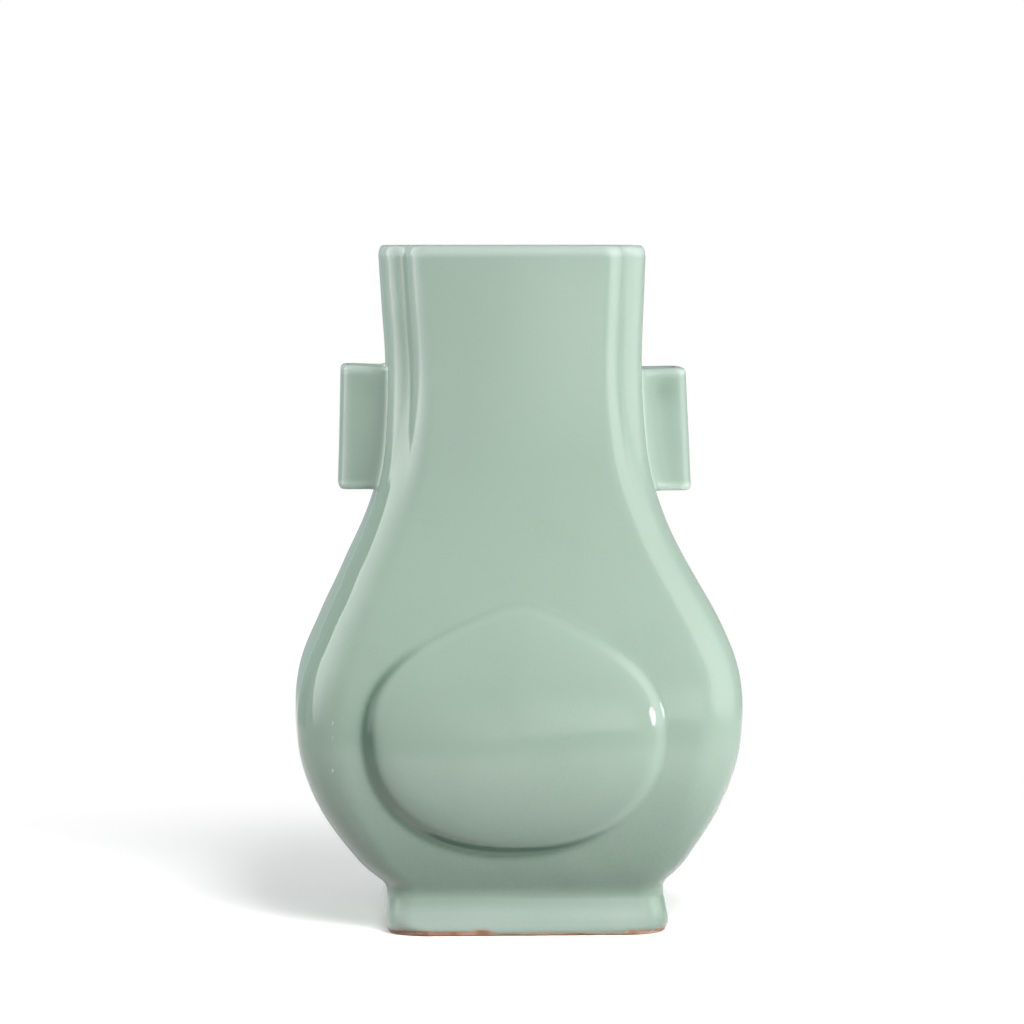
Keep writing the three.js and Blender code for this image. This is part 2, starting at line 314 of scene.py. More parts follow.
# The slab tools. A piece starts as a sheet of columns and rows, thickened to a slab, with its top or
# bottom edge cut into strips where that edge is to be rolled round. u is -1 to 1 along the piece.
# s goes round its section: 0 to 1 up the outside, to 2 over the top, to 3 down the inside, to 4 below.
def rollSlab(columns, rows, topCuts, bottomCuts):
    bm = bmesh.new()
    bmesh.ops.create_grid(bm, x_segments=columns, y_segments=rows, size=1)
    sheet = bmesh.ops.extrude_face_region(bm, geom=bm.faces[:], use_keep_orig=True)
    behind = [v for v in sheet["geom"] if isinstance(v, bmesh.types.BMVert)]
    bmesh.ops.translate(bm, verts=behind, vec=(0, 0, -1))
    for level, cuts in ((1, topCuts), (-1, bottomCuts)):
        crossing = [
            e for e in bm.edges
            if abs(e.verts[0].co.z - e.verts[1].co.z) > 0.5
            and abs(e.verts[0].co.y - level) < tiny and abs(e.verts[1].co.y - level) < tiny
        ]
        if cuts:
            bmesh.ops.subdivide_edges(bm, edges=crossing, cuts=cuts, use_grid_fill=True)
    bmesh.ops.recalc_face_normals(bm, faces=bm.faces)
    return bm


def meshFrom(name, bm):
    mesh = bpy.data.meshes.new(name)
    bm.to_mesh(mesh)
    bm.free()
    return mesh


def addObject(name, data):
    made = bpy.data.objects.new(name, data)
    scene.collection.objects.link(made)
    return made


# place gives the slab's points from u and s, and depthOf how deep the glaze lies there. Its top, 1, or
# its bottom, -1, is an open end where it butts against another piece.
def pressSlab(name, bm, place, depthOf, openEnds):
    mesh = meshFrom(name, bm)
    flat = np.empty(len(mesh.vertices) * 3, np.float32)
    mesh.vertices.foreach_get("co", flat)
    u, v, w = flat.reshape(-1, 3).astype(float).T
    rise = (v + 1) / 2
    s = np.where(w > -tiny, rise, 3 - rise)
    between = (w < -tiny) & (w > -1 + tiny)
    s = np.where(between & (v > 0), 1 - w, s)
    s = np.where(between & (v < 0), 4 + w, s)
    points = place(u, s)
    mesh.vertices.foreach_set("co", (points * millimetre).astype(np.float32).ravel())
    normals = normalsOf(place, u, s)
    keepFlat = flatFaces(mesh, u, v, openEnds)
    setNormals(mesh, normals, keepFlat)
    depth = mesh.attributes.new("glazeDepth", "FLOAT", "POINT")
    depth.data.foreach_set("value", depthOf(u, s, points).astype(np.float32))
    return addObject(name, mesh)


# The surface's own normals, so that no seam between two pieces shows in the shading
def normalsOf(place, u, s):
    small = 2e-4
    alongU = place(u + small, s) - place(u - small, s)
    alongS = place(u, s + small) - place(u, s - small)
    normals = np.cross(alongU, alongS)
    lengths = np.linalg.norm(normals, axis=1, keepdims=True)
    return normals / np.maximum(lengths, 1e-12)


# Faces that meet another piece keep their own flat normal: the seams, and the top or bottom if it butts
def flatFaces(mesh, u, v, openEnds):
    corners = np.empty(len(mesh.loops), np.int32)
    mesh.loops.foreach_get("vertex_index", corners)
    starts = np.empty(len(mesh.polygons), np.int32)
    mesh.polygons.foreach_get("loop_start", starts)
    ends = np.abs(np.abs(u) - 1) < tiny
    flat = np.minimum.reduceat((ends & (u > 0))[corners], starts)
    flat |= np.minimum.reduceat((ends & (u < 0))[corners], starts)
    for level in openEnds:
        flat |= np.minimum.reduceat((np.abs(v - level) < tiny)[corners], starts)
    return flat


def setNormals(mesh, normals, keepFlat):
    mesh.polygons.foreach_set("use_smooth", np.ones(len(mesh.polygons), bool))
    mesh.update()
    corners = np.empty(len(mesh.loops), np.int32)
    mesh.loops.foreach_get("vertex_index", corners)
    totals = np.empty(len(mesh.polygons), np.int32)
    mesh.polygons.foreach_get("loop_total", totals)
    faceNormals = np.empty(len(mesh.polygons) * 3, np.float32)
    mesh.polygons.foreach_get("normal", faceNormals)
    owner = np.repeat(np.arange(len(totals)), totals)
    perCorner = normals[corners]
    perCorner[keepFlat[owner]] = faceNormals.reshape(-1, 3)[owner][keepFlat[owner]]
    mesh.normals_split_custom_set(perCorner.tolist())


# The walls stand on the foot frame and end in a rolled lip
walls = {
    "rows": 228,
    "lipCuts": 9,
    "rowShares": [0, 0.06, 0.955, 1],  # the rows are closer together at the cove and under the lip
    "rowHeights": [vase["footHeight"], 23, 286, vase["height"] - vase["lipHeight"]],
    "front": {"columns": 188, "flatShare": 0.74},
    "right": {"columns": 96, "flatShare": 0.5},
    "back": {"columns": 188, "flatShare": 0.74},
    "left": {"columns": 96, "flatShare": 0.5},
}


# The height and inset of s, and the height at which the section is taken. All three paths go on a
# little past their ends, because the normals are measured there.
def wallPath(s):
    shares, heights = walls["rowShares"], walls["rowHeights"]
    top = heights[-1]
    share = np.where(s < 1.5, np.minimum(s, 1), np.minimum(3 - s, 1))
    below = np.minimum(share, 0) * (heights[1] - heights[0]) / shares[1]
    over = np.clip(s - 1, 0, 1) * math.pi
    z = np.interp(share, shares, heights) + below + vase["lipHeight"] * np.sin(over)
    rolled = wallInset(np.full(s.shape, float(top))) / 2 * (1 - np.cos(over))
    inset = np.where(s <= 1, 0, np.where(s >= 2, wallInset(z), rolled))
    return z, inset, np.minimum(z, top)


def wallPlace(sideName):
    side, layout = sides[sideName], walls[sideName]
    facing = {"front": 1, "back": -1}.get(sideName, 0)

    def place(u, s):
        z, inset, section = wallPath(s)
        x, y = sidePoint(side, layout["flatShare"], u, section, inset)
        if facing:
            rise, _ = bossRise(facing * (x + lean(z)), z)
            y = y - facing * np.where(s <= 1, rise, 0)
        return np.stack([x + lean(z), y, z], axis=1)
    return place


# How deep the glaze lies: 0.5 is the body's depth, less is thin and pale, more is pooled
depths = {
    "body": 0.5,
    "lobeHighlightLeft": 0.12,  # thinner still on the lobes at the left, and less so at the right: a painted highlight from the left lamps
    "lobeTurn": 25,
    "rim": 0.5,  # thinner on the lip and on the handles' rims
    "lipFades": [6, 1],  # between these distances from the edge
    "rimFades": [5, 1],
    "rimFrom": 2,  # a handle's rim keeps the full depth this close to the neck
    "run": 0.23,  # deeper low on the body, where it has run down
    "runFades": [20, 85],
    "foot": 0.24,  # on the foot, by this much less or more at the left and right: painted light at the left and painted shade at the right
    "footSideShade": 0.05,
    "footTurn": 20,
    "coveFades": [9.5, 22],  # the body's depth passes into the foot's between these heights
    "ring": [0.1, 0.08, 0.75],  # deeper along the boss's edge: everywhere, as pooled glaze; more at the left and lower left, as painted shade
    "ringWidth": 1.9,
    "floor": 0.6,
    # soft hills: how much, where and how far they reach
    "groove": [0.08, 1, 0.3],  # deeper in the neck's grooves, thinner on its lobes, where the paleness is partly thin glaze and partly a painted highlight
    "lobe": [0.25, 0.45, 0.4],
    "footCornerShade": [0.35, 64, 7],  # deeper at the foot's right corner: painted shade that dulls the lamps' highlight there
    "roll": [0.16, 0.7, 0.5],  # and in the roll just above the bare rim
    "shoulder": [0.14, 2.2, 2.2],  # thinner just inside the boss's edge
    "lutingAndLight": [0.3, 0, 7],  # thinner where a handle meets the neck, partly the pale luting line and partly painted light on the shade beside the neck; and deeper beside that
    "handlePool": [0.12, 9, 6],
    "handlePoolHigh": [1, -10, 5],  # mostly this far below the top, and elsewhere by the low share
    "handlePoolLow": 0.2,
    "bend": [0.16, 0.52, 0.1],  # thinner on the handles' bends
}


def depthHill(name, value):
    amount, place, reach = depths[name]
    return amount * hill(value, place, reach)


# The glaze thins from the lower body, through the cove, to the foot
def footThinning(x, z):
    # Painted shade: the foot's glaze is deeper, so darker, at its right and its right corner, and paler at
    # its left
    thin = depths["foot"] + depths["footSideShade"] * np.tanh(x / depths["footTurn"])
    thin = thin + depthHill("footCornerShade", x)
    return (depths["body"] + depths["run"] - thin) * (1 - smoothStep(z, *depths["coveFades"]))


def wallDepth(sideName):
    flatShare = walls[sideName]["flatShare"]
    facing = {"front": 1, "back": -1}.get(sideName, 0)

    def depthOf(u, s, points):
        x, _, z = points.T
        corner = np.clip((np.abs(u) - flatShare) / (1 - flatShare), 0, 1)
        notch = smoothStep(z, *vase["grooveGrows"])
        groove = notch * depthHill("groove", corner)
        # Paler lobes: thin glaze and a painted highlight, stronger at the left
        full, place, reach = depths["lobe"]
        full = full - depths["lobeHighlightLeft"] * np.tanh(x / depths["lobeTurn"])
        lobe = full * notch * hill(corner, place, reach)
        lipLow, lipHigh = (vase["height"] - below for below in depths["lipFades"])
        lip = depths["rim"] * smoothStep(z, lipLow, lipHigh)
        run = depths["run"] * (1 - smoothStep(z, *depths["runFades"]))
        depth = depths["body"] + groove - lobe - lip + run - footThinning(x, z)
        if facing:
            _, inside = bossRise(facing * x, z)
            fromMiddle = np.stack([facing * x - boss["middleX"], z - boss["middleZ"]])
            lowLeft = np.clip(-fromMiddle.sum(0) / boss["halfWidth"], 0, 1)
            leftward = np.clip(-fromMiddle[0] / boss["halfWidth"], 0, 1)
            # Darker at the left and lower left of the boss's edge: painted shade where it faces away from
            # the lamps
            wide = depths["ringWidth"] + lowLeft
            everywhere, shadeAtLeft, shadeAtLowLeft = depths["ring"]
            ring = (everywhere + shadeAtLeft * leftward + shadeAtLowLeft * lowLeft) * hill(inside, wide / 3, wide)
            depth += np.where(s <= 1, ring - depthHill("shoulder", inside), 0)
        return np.clip(depth, 0, 1)
    return depthOf


def buildWalls():
    pieces = {}
    for sideName in sides:
        layout = walls[sideName]
        bm = rollSlab(layout["columns"], walls["rows"], walls["lipCuts"], 0)
        place, depthOf = wallPlace(sideName), wallDepth(sideName)
        name = f"{sideName}_wall_glazed"
        pieces[sideName] = pressSlab(name, bm, place, depthOf, [-1])
        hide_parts(f"{sideName}_wall")
        print("wall pressed:", sideName)
    return pieces


# The foot frame: four strips, mitred at the corners, bare along the edge that stands on the table
foot = {
    "rows": 26,
    "edgeCuts": 15,
    "wall": 9,
    "edgeRound": 1.3,  # radius of the edges that stand on the table
    "edgeShare": 0.3,  # the share of the strips under the foot that goes round each edge
    "rowShares": [0, 0.5, 1],
    "rowHeights": [1.3, 5, vase["footHeight"]],
    "glazeStep": 0.32,  # the glaze ends in a step this thick
    "stepSpan": [-0.1, 0.35],  # which spans these heights from the line
    "bareSpan": [-0.05, 0.25],  # and where the clay's look passes into the glaze's
    "glazeLine": 0.9,  # the line's mean height on the outside
    "lineWave": 0.28,
    "insideLine": 3.2,
    "runFull": 0.72,  # the share of a bare run where it has its full height
    # bare runs, where the glaze stops higher: x, y, half length, extra height
    "bareRuns": [
        [-33, -48, 24, 1.25], [57, -46, 13, 0.95], [24, 48, 20, 1.1], [-54, 14, 16, 0.9],
        [63, 9, 15, 1.2],
    ],
}


# The height at which the glaze ends. The wave's numbers are radians per millimetre and phases.
def glazeLine(x, y):
    wave = np.sin(x * 0.21 + y * 0.17 + 0.6) + 0.6 * np.sin(x * 0.47 - y * 0.53 + 2.0)
    line = foot["glazeLine"] + foot["lineWave"] * wave
    for runX, runY, length, extra in foot["bareRuns"]:
        away = np.hypot(x - runX, y - runY) / length
        line = line + extra * (1 - smoothStep(away, foot["runFull"], 1))
    return line


# The height and inset of s
def footPath(s):
    shares, heights = foot["rowShares"], foot["rowHeights"]
    roundness, width = foot["edgeRound"], foot["wall"]
    up = np.where(s < 2, s, 3 - s)
    above = np.maximum(up - 1, 0) * (heights[-1] - heights[-2]) / (shares[-1] - shares[-2])
    z = np.interp(up, shares, heights) + above
    inset = np.where(s < 1.5, 0, width)
    # under the strip: out from the inside, round, level, round
    under, turn = np.clip(s - 3, 0, 1), foot["edgeShare"]
    firstTurn = np.clip(under / turn, 0, 1) * math.pi / 2
    lastTurn = np.clip((under - (1 - turn)) / turn, 0, 1) * math.pi / 2
    level = np.clip((under - turn) / (1 - 2 * turn), 0, 1) * (width - 2 * roundness)
    underInset = width - roundness * (1 - np.cos(firstTurn)) - level - roundness * np.sin(lastTurn)
    underZ = roundness * (1 - np.sin(firstTurn)) + roundness * (1 - np.cos(lastTurn))
    return np.where(s > 3, underZ, z), np.where(s > 3, underInset, inset)


def footPlace(sideName):
    side, layout = sides[sideName], walls[sideName]

    def place(u, s):
        z, inset = footPath(s)
        section = np.maximum(z, foot["edgeRound"])
        x, y = sidePoint(side, layout["flatShare"], u, section, inset)
        outside = inset < foot["wall"] / 2
        line = np.where(outside, glazeLine(x + lean(z), y), foot["insideLine"])
        stepLow, stepHigh = foot["stepSpan"]
        bare = foot["glazeStep"] * (1 - smoothStep(z, line + stepLow, line + stepHigh))
        step = np.where(outside, bare, -bare)
        onLevel = (s > 3.25) & (s < 3.75)
        step = np.where(onLevel, 0, step)
        x, y = sidePoint(side, layout["flatShare"], u, section, inset + step)
        return np.stack([x + lean(z), y, z], axis=1)
    return place


# On the foot the attribute also carries the bare clay: it is below 0 there
def footDepth(u, s, points):
    x, y, z = points.T
    outside = s < 1.5
    line = np.where(outside, glazeLine(x, y), foot["insideLine"])
    full = depths["body"] + depths["run"] - footThinning(x, z)
    glazed = np.clip(full + depthHill("roll", z - line), 0, 1)
    bareLow, bareHigh = foot["bareSpan"]
    bare = 1 - smoothStep(z, line + bareLow, line + bareHigh)
    bare = np.where(s > 3, 1, bare)
    return glazed * (1 - bare) - bare


def buildFoot():
    pieces = {}
    for sideName in sides:
        layout = walls[sideName]
        bm = rollSlab(layout["columns"], foot["rows"], 0, foot["edgeCuts"])
        name = f"foot_{sideName}_glazed"
        pieces[sideName] = pressSlab(name, bm, footPlace(sideName), footDepth, [1])
        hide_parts(f"foot_{sideName}")
    print("foot frame mitred")
    return pieces


# Tubular lug handles: a strip bent to a channel and closed by the neck
handle = {
    "columns": 120,
    "rows": 70,
    "rimCuts": 9,
    "reachTop": 75.8,  # outer face from the neck's middle, at the top and at the bottom
    "reachBottom": 77.6,
    "halfDepth": 17,
    "wall": 3.8,
    "corner": 5,
    "innerCorner": 2.2,
    "rim": 2.4,
    "fillet": 1.7,  # the arms widen by this much where they meet the neck
    "filletFall": 0.62,
    "filletRise": 0.6,
    "sunk": 0.8,  # the arms' ends sit this deep in the neck's glaze
    "faceShare": 0.4,  # the share of the strip that is the outer face, and up to the arms
    "bendShare": 0.64,
    "dipShares": [0.62, 0.95],  # the top rim dips along this part of the strip
    "dipFrom": 0.8,  # and above this share of the height
    "dipBehind": 0.4,  # by this share as much at the back
    # The left handle's glaze is thinner and paler than the right one's: painted light where the neck
    # shades it from the right lamps, and painted shade on the right handle
    "left": {"towards": -1, "ends": [193.1, 247.7], "dip": 1.0, "glaze": 0.4},
    "right": {"towards": 1, "ends": [192.2, 246.3], "dip": 0.5, "glaze": 0.6},
}


# The height and inset of s, and its share of the way up
def handlePath(s, low, high):
    rim, wall = handle["rim"], handle["wall"]
    up = np.where(s <= 2, np.minimum(s, 1), 3 - np.minimum(s, 3))
    up = np.where(s < 0, 0, up)
    over = np.clip(s - 1, 0, 1) * math.pi
    under = np.where(s > 3, s - 3, np.where(s < 0, s + 1, 0)) * math.pi
    z = low + rim + up * (high - low - 2 * rim) + rim * np.sin(over) - rim * np.sin(under)
    inset = wall / 2 * (1 - np.cos(over))
    inset = np.where(s >= 2, wall, inset)
    inset = np.where((s > 3) | (s < 0), wall / 2 * (1 + np.cos(under)), inset)
    return z, inset, up


def handlePlace(sideName):
    spec = handle[sideName]
    low, high = spec["ends"]
    face, bend = handle["faceShare"], handle["bendShare"]

    def place(u, s):
        z, inset, up = handlePath(s, low, high)
        share = np.abs(u)
        reach = handle["reachBottom"] + (handle["reachTop"] - handle["reachBottom"]) * up
        root = halfWidth(z) - handle["sunk"]
        ratio = inset / handle["wall"]
        radius = handle["corner"] + (handle["innerCorner"] - handle["corner"]) * ratio
        outX = reach - inset
        outY = handle["halfDepth"] - inset
        turn = np.clip((share - face) / (bend - face), 0, 1) * math.pi / 2
        bentX = outX - radius + radius * np.cos(turn)
        bentY = outY - radius + radius * np.sin(turn)
        onFace = np.minimum(share / face, 1)
        armShare = np.clip((share - bend) / (1 - bend), 0, None)
        x = bentX - armShare * (outX - radius - root)
        y = np.where(share < face, onFace * (outY - radius), bentY)
        fromNeck = np.clip(x - root, 0, None)
        flare = handle["fillet"] * np.exp(-fromNeck / (handle["filletFall"] * handle["fillet"]))
        y = y + flare * (1 - 2 * ratio)
        dip = spec["dip"] * smoothStep(share, *handle["dipShares"])
        dip = dip * np.where(u * spec["towards"] < 0, 1, handle["dipBehind"])
        z = z + handle["filletRise"] * flare * (2 * up - 1) - dip * smoothStep(up, handle["dipFrom"], 1)
        worked = handWork(spec["towards"] * x, y, z) - vase["handWork"] / 2
        x = x - worked * (share < bend)
        return np.stack([spec["towards"] * x + lean(z), spec["towards"] * np.sign(u) * y, z], axis=1)
    return place


def handleDepth(sideName):
    low, high = handle[sideName]["ends"]

    def depthOf(u, s, points):
        x, _, z = points.T
        _, inset, _ = handlePath(s, low, high)
        fromNeck = np.abs(x - lean(z)) - halfWidth(z)
        share = depths["handlePoolLow"] + depthHill("handlePoolHigh", z - high)
        pool = depthHill("handlePool", fromNeck) * share
        far, near = depths["rimFades"]
        atRims = smoothStep(z, high - far, high - near) + smoothStep(-z, -low - far, -low - near)
        rim = depths["rim"] * atRims * (fromNeck > depths["rimFrom"])
        bend = depthHill("bend", np.abs(u)) * (inset < 1)
        # The pale band at the neck is partly the luting line and partly painted light where the neck
        # shades the handle
        thin = depthHill("lutingAndLight", fromNeck) + rim + bend
        # Each handle's own depth: paler at the left as painted light, darker at the right as painted shade
        return np.clip(handle[sideName]["glaze"] + pool - thin, 0, 1)
    return depthOf


def buildHandles():
    pieces = {}
    for sideName in ("left", "right"):
        bm = rollSlab(handle["columns"], handle["rows"], handle["rimCuts"], handle["rimCuts"])
        name = f"{sideName}_lug_handle"
        pieces[sideName] = pressSlab(name, bm, handlePlace(sideName), handleDepth(sideName), [])
        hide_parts(f"{sideName}_handle")
        print("handle bent:", sideName)
    return pieces


# The looks. Scales are waves or cells per metre.
glaze = {
    "thin": (0.54, 0.665, 0.6, 1),
    "body": (0.366, 0.494, 0.401, 1),
    "pooled": (0.11, 0.207, 0.14, 1),
    "clouding": 0.1,  # how much the clouds and the grain change the depth
    "cloudScale": 38,
    "grainScale": 820,
    "grainShare": 0.8,
    "gloss": 0.12,
    "grainGloss": 0.05,
    "speck": (0.09, 0.11, 0.08, 1),
    "speckScale": 60,
    "speckShare": 0.5,
    "speckChance": [0.8, 1],
    "speckSize": 0.024,  # of a cell
    "pinholeScale": 240,
    "pinholeChance": [0.9, 1],
    "pinholeSize": 0.12,
    "peelScale": 300,
    "peelShare": 0.5,
    "bump": 0.00003,
    "coatRoughness": 0.06,
}
clay = {
    "orange": (0.86, 0.47, 0.33, 1),
    "dark": (0.6, 0.28, 0.17, 1),
    "scratch": (0.85, 0.76, 0.64, 1),
    "stainScale": 130,
    "stainSpan": [0.42, 0.68],
    "scratchScale": 95,
    "scratchStretch": (1, 1, 6),
    "scratchSpan": [0.56, 0.62],
    "bareSpan": [0.05, -0.35],  # the attribute's values between which the clay comes through
    "roughness": 0.6,  # added to the glaze's
}


# Shader tools. Values are set, and outputs of other nodes are linked.
def plugIn(tree, node, inputs):
    for key, value in inputs.items():
        if isinstance(value, bpy.types.NodeSocket):
            tree.links.new(value, node.inputs[key])
        else:
            node.inputs[key].default_value = value


def addNode(tree, kind, inputs=None, **settings):
    made = tree.nodes.new("ShaderNode" + kind)
    for key, value in settings.items():
        setattr(made, key, value)
    plugIn(tree, made, inputs or {})
    return made.outputs


def newMaterial(name):
    material = bpy.data.materials.new(name)
    material.use_nodes = True
    return material, material.node_tree, material.node_tree.nodes["Principled BSDF"]


def mathNode(tree, operation, *values):
    return addNode(tree, "Math", dict(enumerate(values)), operation=operation)[0]


def mixColours(tree, factor, first, second):
    return addNode(tree, "Mix", {0: factor, 6: first, 7: second}, data_type="RGBA")[2]


def noiseNode(tree, where, scale, detail, roughness=0.5):
    return addNode(tree, "TexNoise", {
        "Vector": where, "Scale": scale, "Detail": detail, "Roughness": roughness})[0]


def rangeNode(tree, value, span, kind="LINEAR", target=(0, 1)):
    return addNode(tree, "MapRange", {
        "Value": value, "From Min": span[0], "From Max": span[1], "To Min": target[0], "To Max": target[1],
    }, interpolation_type=kind)[0]


def newGroup(name, inputs, outputs):
    group = bpy.data.node_groups.new(name, "ShaderNodeTree")
    # Vector inputs have no first value
    for label, kind, value in inputs:
        socket = group.interface.new_socket(name=label, in_out="INPUT", socket_type="NodeSocket" + kind)
        if value is not None:
            socket.default_value = value
    for label, kind in outputs:
        group.interface.new_socket(name=label, in_out="OUTPUT", socket_type="NodeSocket" + kind)
    return group, group.nodes.new("NodeGroupInput").outputs, group.nodes.new("NodeGroupOutput").inputs


# Celadon glaze: pale where thin, deeper where pooled, with faint clouding, pinholes and iron specks
def celadonGroup():
    group, given, out = newGroup("celadonGlaze", [
        ("Vector", "Vector", None),
        ("Depth", "Float", depths["body"]),
        ("Thin Colour", "Color", glaze["thin"]),
        ("Glaze Colour", "Color", glaze["body"]),
        ("Pooled Colour", "Color", glaze["pooled"]),
        ("Clouding", "Float", glaze["clouding"]),
        ("Gloss", "Float", glaze["gloss"]),
    ], [("Colour", "Color"), ("Roughness", "Float"), ("Height", "Float")])
    where = given["Vector"]
    clouds = mathNode(group, "SUBTRACT", noiseNode(group, where, glaze["cloudScale"], 3), 0.5)
    grain = mathNode(group, "SUBTRACT", noiseNode(group, where, glaze["grainScale"], 2), 0.5)
    grain = mathNode(group, "MULTIPLY", grain, glaze["grainShare"])
    mottle = mathNode(group, "MULTIPLY", mathNode(group, "ADD", clouds, grain), given["Clouding"])
    depth = mathNode(group, "ADD", given["Depth"], mottle)
    thinShare = rangeNode(group, depth, (depths["body"], 0), "SMOOTHSTEP")
    pooledShare = rangeNode(group, depth, (depths["body"], 1))
    colour = mixColours(group, thinShare, given["Glaze Colour"], given["Thin Colour"])
    colour = mixColours(group, pooledShare, colour, given["Pooled Colour"])
    # iron specks under the glaze, and pinholes in it: a few of the cells have one, each its own size
    specks = addNode(group, "TexVoronoi", {"Vector": where, "Scale": glaze["speckScale"]})
    chosen = addNode(group, "SeparateColor", {"Color": specks["Color"]})[0]
    size = rangeNode(group, chosen, glaze["speckChance"], target=(0, glaze["speckSize"]))
    speck = mathNode(group, "LESS_THAN", specks["Distance"], size)
    speck = mathNode(group, "MULTIPLY", speck, glaze["speckShare"])
    colour = mixColours(group, speck, colour, glaze["speck"])
    pits = addNode(group, "TexVoronoi", {"Vector": where, "Scale": glaze["pinholeScale"]})
    chosen = addNode(group, "SeparateColor", {"Color": pits["Color"]})[1]
    size = rangeNode(group, chosen, glaze["pinholeChance"], target=(0, glaze["pinholeSize"]))
    pit = rangeNode(group, pits["Distance"], (0, size), "SMOOTHSTEP", (-1, 0))
    peel = mathNode(group, "MULTIPLY", noiseNode(group, where, glaze["peelScale"], 2), glaze["peelShare"])
    dulled = mathNode(group, "MULTIPLY", grain, glaze["grainGloss"])
    group.links.new(colour, out["Colour"])
    group.links.new(mathNode(group, "ADD", given["Gloss"], dulled), out["Roughness"])
    group.links.new(mathNode(group, "ADD", peel, pit), out["Height"])
    return group


# Bare clay dressed with iron: orange-brown, streaked, with chalky scratches
def ironGroup():
    group, given, out = newGroup("ironRim", [
        ("Vector", "Vector", None),
        ("Clay Colour", "Color", clay["orange"]),
        ("Dark Colour", "Color", clay["dark"]),
        ("Scratch Colour", "Color", clay["scratch"]),
    ], [("Colour", "Color"), ("Height", "Float")])
    where = given["Vector"]
    stains = noiseNode(group, where, clay["stainScale"], 5)
    stain = rangeNode(group, stains, clay["stainSpan"])
    colour = mixColours(group, stain, given["Clay Colour"], given["Dark Colour"])
    stretched = addNode(group, "Mapping", {"Vector": where, "Scale": clay["scratchStretch"]})[0]
    marks = noiseNode(group, stretched, clay["scratchScale"], 6, 0.7)
    mark = rangeNode(group, marks, clay["scratchSpan"])
    colour = mixColours(group, mark, colour, given["Scratch Colour"])
    group.links.new(colour, out["Colour"])
    group.links.new(stains, out["Height"])
    return group


# The attribute says how deep the glaze lies, and where the clay is bare; or the depth is even
def glazeMaterial(name, celadon, iron=None, evenDepth=None):
    material, tree, shader = newMaterial(name)
    where = addNode(tree, "TexCoord")["Object"]
    depth = evenDepth
    if depth is None:
        depth = addNode(tree, "Attribute", attribute_name="glazeDepth")["Fac"]
    glazed = addNode(tree, "Group", {
        "Vector": where, "Depth": depth, "Thin Colour": glaze["thin"], "Glaze Colour": glaze["body"],
        "Pooled Colour": glaze["pooled"], "Clouding": glaze["clouding"], "Gloss": glaze["gloss"],
    }, node_tree=celadon)
    colour, rough, coat = glazed["Colour"], glazed["Roughness"], 1
    if iron:
        bareClay = addNode(tree, "Group", {
            "Vector": where, "Clay Colour": clay["orange"], "Dark Colour": clay["dark"],
            "Scratch Colour": clay["scratch"]}, node_tree=iron)
        bare = rangeNode(tree, depth, clay["bareSpan"])
        colour = mixColours(tree, bare, colour, bareClay["Colour"])
        rough = mathNode(tree, "ADD", rough, mathNode(tree, "MULTIPLY", bare, clay["roughness"]))
        coat = mathNode(tree, "SUBTRACT", 1.0, bare)
    bump = addNode(tree, "Bump", {"Height": glazed["Height"], "Distance": glaze["bump"], "Strength": 1})[0]
    plugIn(tree, shader, {
        "Base Color": colour, "Roughness": rough, "Normal": bump, "Specular IOR Level": 0,
        "Coat Weight": coat, "Coat Roughness": glaze["coatRoughness"], "Coat Normal": bump})
    return material


def dress(pieces, material):
    for piece in pieces:
        piece.data.materials.clear()
        piece.data.materials.append(material)
        if piece.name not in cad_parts:
            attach(piece, "root")


# The studio: a pale floor, soft panels, grey cards behind and the camera, which is in millimetres
studio = {
    "cameraDistance": 2200,
    "cameraHeight": 310,
    "cameraAzimuth": math.radians(-2.8),
    "aimHeight": 182,
    "aimX": -1.1,
    "lens": 174.96,
    "sensor": 36,
    "roomLight": 0.09,  # even light from all round
    "frontLight": 0.25,  # more of it from the front, where this direction is
    "frontFrom": (-0.255, -0.951, 0.174),
    "frontPower": 3,
    "cardReach": 0.7,  # the cards' distance and height in metres, and where they stand
    "cardHeight": 1.3,
    "cardSpans": [[-180, -104], [104, 180]],  # degrees from the front
    "cardGlows": [(0.38, 0.48, 0.45, 1), (0.52, 0.55, 0.54, 1)],
    "cardFade": [0.0, 0.05],  # metres up the card where the floor's white passes into its own tone
    "panelAim": 0.13,  # the height that the panels face
    "floorRadius": 6,
    "floorDrop": 0.0001,  # the floor is this much under the foot
    "floorShade": 0.13,  # what the floor gives back to the vase
    "floorLift": 0.04,  # added where the floor is seen, so that it is white out of the shadow
    "floorTone": (1, 0.975, 0.98, 1),
    "floorRoughness": 0.9,
    "floorFade": [0.2, 0.5],  # metres from the vase where the floor turns plain white
}
# Azimuth from the front, towards +X, and elevation of the panel's middle, in degrees; its distance,
# width and height in metres; its radiance
panels = {
    "rightFill": [60, 12, 0.56, 0.6, 0.75, 2.0],
    "frontRight": [26, 3, 0.8, 0.4, 0.72, 2.5],
    "rightLow": [34, -2, 0.7, 0.5, 0.2, 3.7],
    "frontLeft": [-25, 22, 0.9, 0.3, 0.7, 0.25],
    "leftHigh": [-52, 44, 1.0, 0.62, 0.6, 0.6],
    "leftSide": [-86, 38, 1.0, 0.54, 0.9, 3.2],
    "leftLow": [-74, 6, 0.9, 0.5, 0.4, 1.1],
    "rightShine": [82, 27, 0.62, 0.9, 0.95, 2.05],
    "leftShine": [-70, 34, 0.8, 1.05, 1.5, 3.7],
    "frontShine": [13, 1, 1.0, 0.6, 0.5, 1.5],
    "floorLamp": [13, 31, 1.3, 0.5, 0.6, 26],
}
